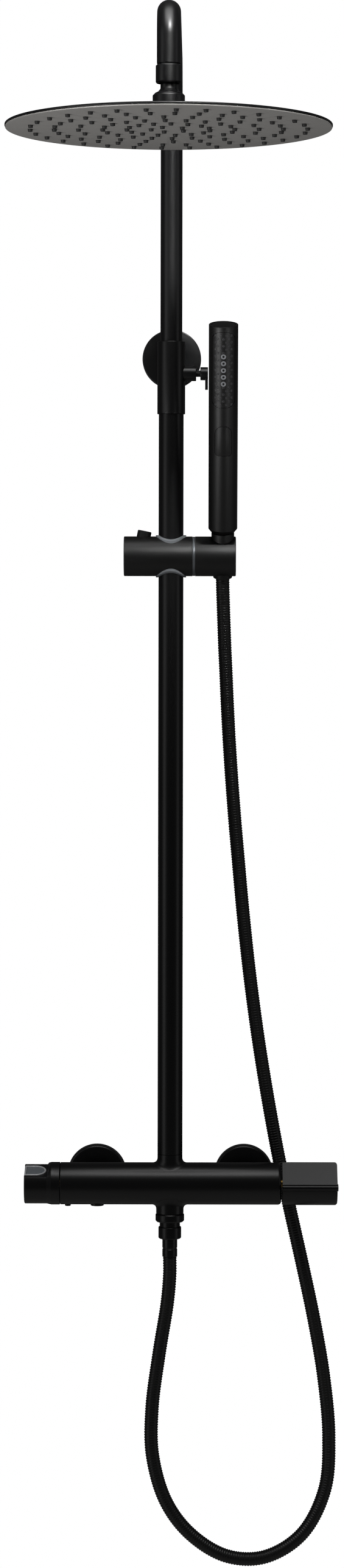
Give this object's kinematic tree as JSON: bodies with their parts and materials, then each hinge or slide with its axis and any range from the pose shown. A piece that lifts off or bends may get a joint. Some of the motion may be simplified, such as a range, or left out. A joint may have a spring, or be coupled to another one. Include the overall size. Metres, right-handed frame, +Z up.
{
  "type": "rainfall shower column",
  "caption": "Matt black thermostatic bar shower column with telescopic riser, wide flat rain head, sliding stick handset and hose.",
  "frame": {"origin": "centre of the upper wall bracket's back face, on the finished wall", "axes": "+X right seen from the room, +Y into the wall, +Z up along the riser"},
  "size_m": [0.3186, 0.562, 1.5249],
  "materials": {
    "black_lacquer": "satin matt black coating on brass and steel",
    "black_plastic": "fine matt",
    "pvc_hose": "black ribbed hose",
    "grey_plastic": "satin grey",
    "silver_ring": "satin",
    "underside_plate": "satin dark underside",
    "brass": "machined",
    "steel": "plain",
    "white_plastic": "plain",
    "silicone": "matt black silicone"
  },
  "bodies": {
    "fixed_column": {"wall_fixing_plate": "steel", "bracket_rose": "black_lacquer", "riser_bracket": "black_lacquer", "bracket_grub_screw": "steel", "lower_riser_tube": "black_lacquer", "telescope_wiper_seal": "silicone", "riser_base_seal": "silicone", "valve_body": "black_lacquer", "service_cap": "black_lacquer", "cartridge_grub_screw": "steel", "thermostat_cartridge": "brass", "flow_cartridge": "brass", "hot_inlet_nut": "black_lacquer", "hot_wall_union": "brass", "hot_escutcheon": "black_lacquer", "cold_inlet_nut": "black_lacquer", "cold_wall_union": "brass", "cold_escutcheon": "black_lacquer", "hose_outlet_union": "black_lacquer", "lower_hose_nut": "black_lacquer", "lower_hose_ferrule": "black_lacquer", "hose": "pvc_hose"},
    "arm_carriage": {"telescope_guide": "white_plastic"},
    "arm": {"arm_pipe": "black_lacquer", "arm_end_fitting": "brass", "ball_joint_collar": "black_lacquer"},
    "ball_ring": {"ball_friction_ring": "white_plastic"},
    "rain_head": {"ball_stem": "black_lacquer", "head_base_nut": "black_lacquer", "head_hub": "black_lacquer", "head_top_shell": "black_lacquer", "head_faceplate": "underside_plate", "nozzle_mat": "silicone"},
    "height_lock": {"lock_spindle": "steel", "lock_lever": "black_lacquer"},
    "temperature_knob": {"temperature_handle": "black_lacquer", "thermostat_spindle": "brass", "stop_button_spring": "steel"},
    "stop_button": {"safety_stop_button": "grey_plastic"},
    "flow_knob": {"flow_handle": "black_lacquer", "flow_spindle": "brass"},
    "slider_carriage": {"slider_bush": "grey_plastic", "hose_at_slider": "pvc_hose"},
    "slider_head": {"slider_body": "black_plastic", "slider_end_cap": "black_plastic", "release_spring": "steel", "tilt_axle": "steel"},
    "slider_brake": {"slider_brake_pin": "white_plastic"},
    "slider_release": {"release_button": "black_plastic"},
    "holder": {"tilt_ring": "silver_ring", "handset_holder": "black_plastic", "hose_at_holder": "pvc_hose"},
    "handset": {"handset_body": "black_plastic", "spray_faceplate": "black_plastic", "spray_core": "white_plastic", "handset_end_cap": "black_plastic", "hose_cone_nut": "black_plastic", "upper_hose_ferrule": "brass", "hose_at_handset": "pvc_hose"},
    "spray_select": {"spray_select_button": "black_plastic"}
  },
  "joints": [
    {"name": "arm_height", "type": "slide", "parent": "fixed_column", "child": "arm_carriage", "axis": [0, 0, 1], "range_m": [-0.12, 0.15]},
    {"name": "arm_swivel", "type": "hinge", "parent": "arm_carriage", "child": "arm", "pos_m": [0, -0.07, 0], "axis": [0, 0, 1], "range_deg": [-70, 70]},
    {"name": "head_tilt_front", "type": "hinge", "parent": "arm", "child": "ball_ring", "pos_m": [0, -0.4, 0.23], "axis": [1, 0, 0], "range_deg": [-10, 10]},
    {"name": "head_tilt_side", "type": "hinge", "parent": "ball_ring", "child": "rain_head", "pos_m": [0, -0.4, 0.23], "axis": [0, 1, 0], "range_deg": [-10, 10]},
    {"name": "lock_turn", "type": "hinge", "parent": "fixed_column", "child": "height_lock", "pos_m": [0.033, -0.07, -0.0192], "axis": [-1, 0, 0], "range_deg": [0, 90]},
    {"name": "temperature_turn", "type": "hinge", "parent": "fixed_column", "child": "temperature_knob", "pos_m": [-0.128, -0.07, -0.8332], "axis": [-1, 0, 0], "range_deg": [-110, 45]},
    {"name": "stop_press", "type": "slide", "parent": "temperature_knob", "child": "stop_button", "axis": [0, 0.309, -0.9511], "range_m": [0, 0.002], "stiffness_N_per_m": 500, "springref_m": -0.002, "deforming": ["stop_button_spring"]},
    {"name": "flow_turn", "type": "hinge", "parent": "fixed_column", "child": "flow_knob", "pos_m": [0.14, -0.07, -0.8332], "axis": [1, 0, 0], "range_deg": [-90, 90]},
    {"name": "slider_height", "type": "slide", "parent": "fixed_column", "child": "slider_carriage", "axis": [0, 0, 1], "range_m": [-0.57, 0.119], "deforming": ["hose", "hose_at_slider", "hose_at_holder", "hose_at_handset"]},
    {"name": "slider_swivel", "type": "hinge", "parent": "slider_carriage", "child": "slider_head", "pos_m": [0, -0.07, -0.2028], "axis": [0, 0, 1], "range_deg": [-30, 30], "deforming": ["hose", "hose_at_slider", "hose_at_holder", "hose_at_handset"]},
    {"name": "release_press", "type": "slide", "parent": "slider_head", "child": "slider_release", "axis": [-0.1959, 0, -0.9806], "range_m": [0, 0.0025], "stiffness_N_per_m": 500, "springref_m": -0.003, "deforming": ["release_spring"]},
    {"name": "brake_retract", "type": "slide", "parent": "slider_head", "child": "slider_brake", "axis": [-1, 0, 0], "range_m": [0, 0.001], "stiffness_N_per_m": 500, "springref_m": -0.001},
    {"name": "holder_tilt", "type": "hinge", "parent": "slider_head", "child": "holder", "pos_m": [0.044, -0.07, -0.2028], "axis": [1, 0, 0], "range_deg": [-18, 27], "deforming": ["hose", "hose_at_slider", "hose_at_holder", "hose_at_handset"]},
    {"name": "handset_lift", "type": "slide", "parent": "holder", "child": "handset", "axis": [0, -0.309, 0.9511], "range_m": [0, 0.03], "deforming": ["hose", "hose_at_slider", "hose_at_holder", "hose_at_handset"]},
    {"name": "select_press", "type": "slide", "parent": "handset", "child": "spray_select", "axis": [0, 0.9511, 0.309], "range_m": [0, 0.0012], "stiffness_N_per_m": 800, "springref_m": -0.0015}
  ],
  "couplings": [
    {"joint": "brake_retract", "follows": "release_press", "ratio": 0.4}
  ]
}
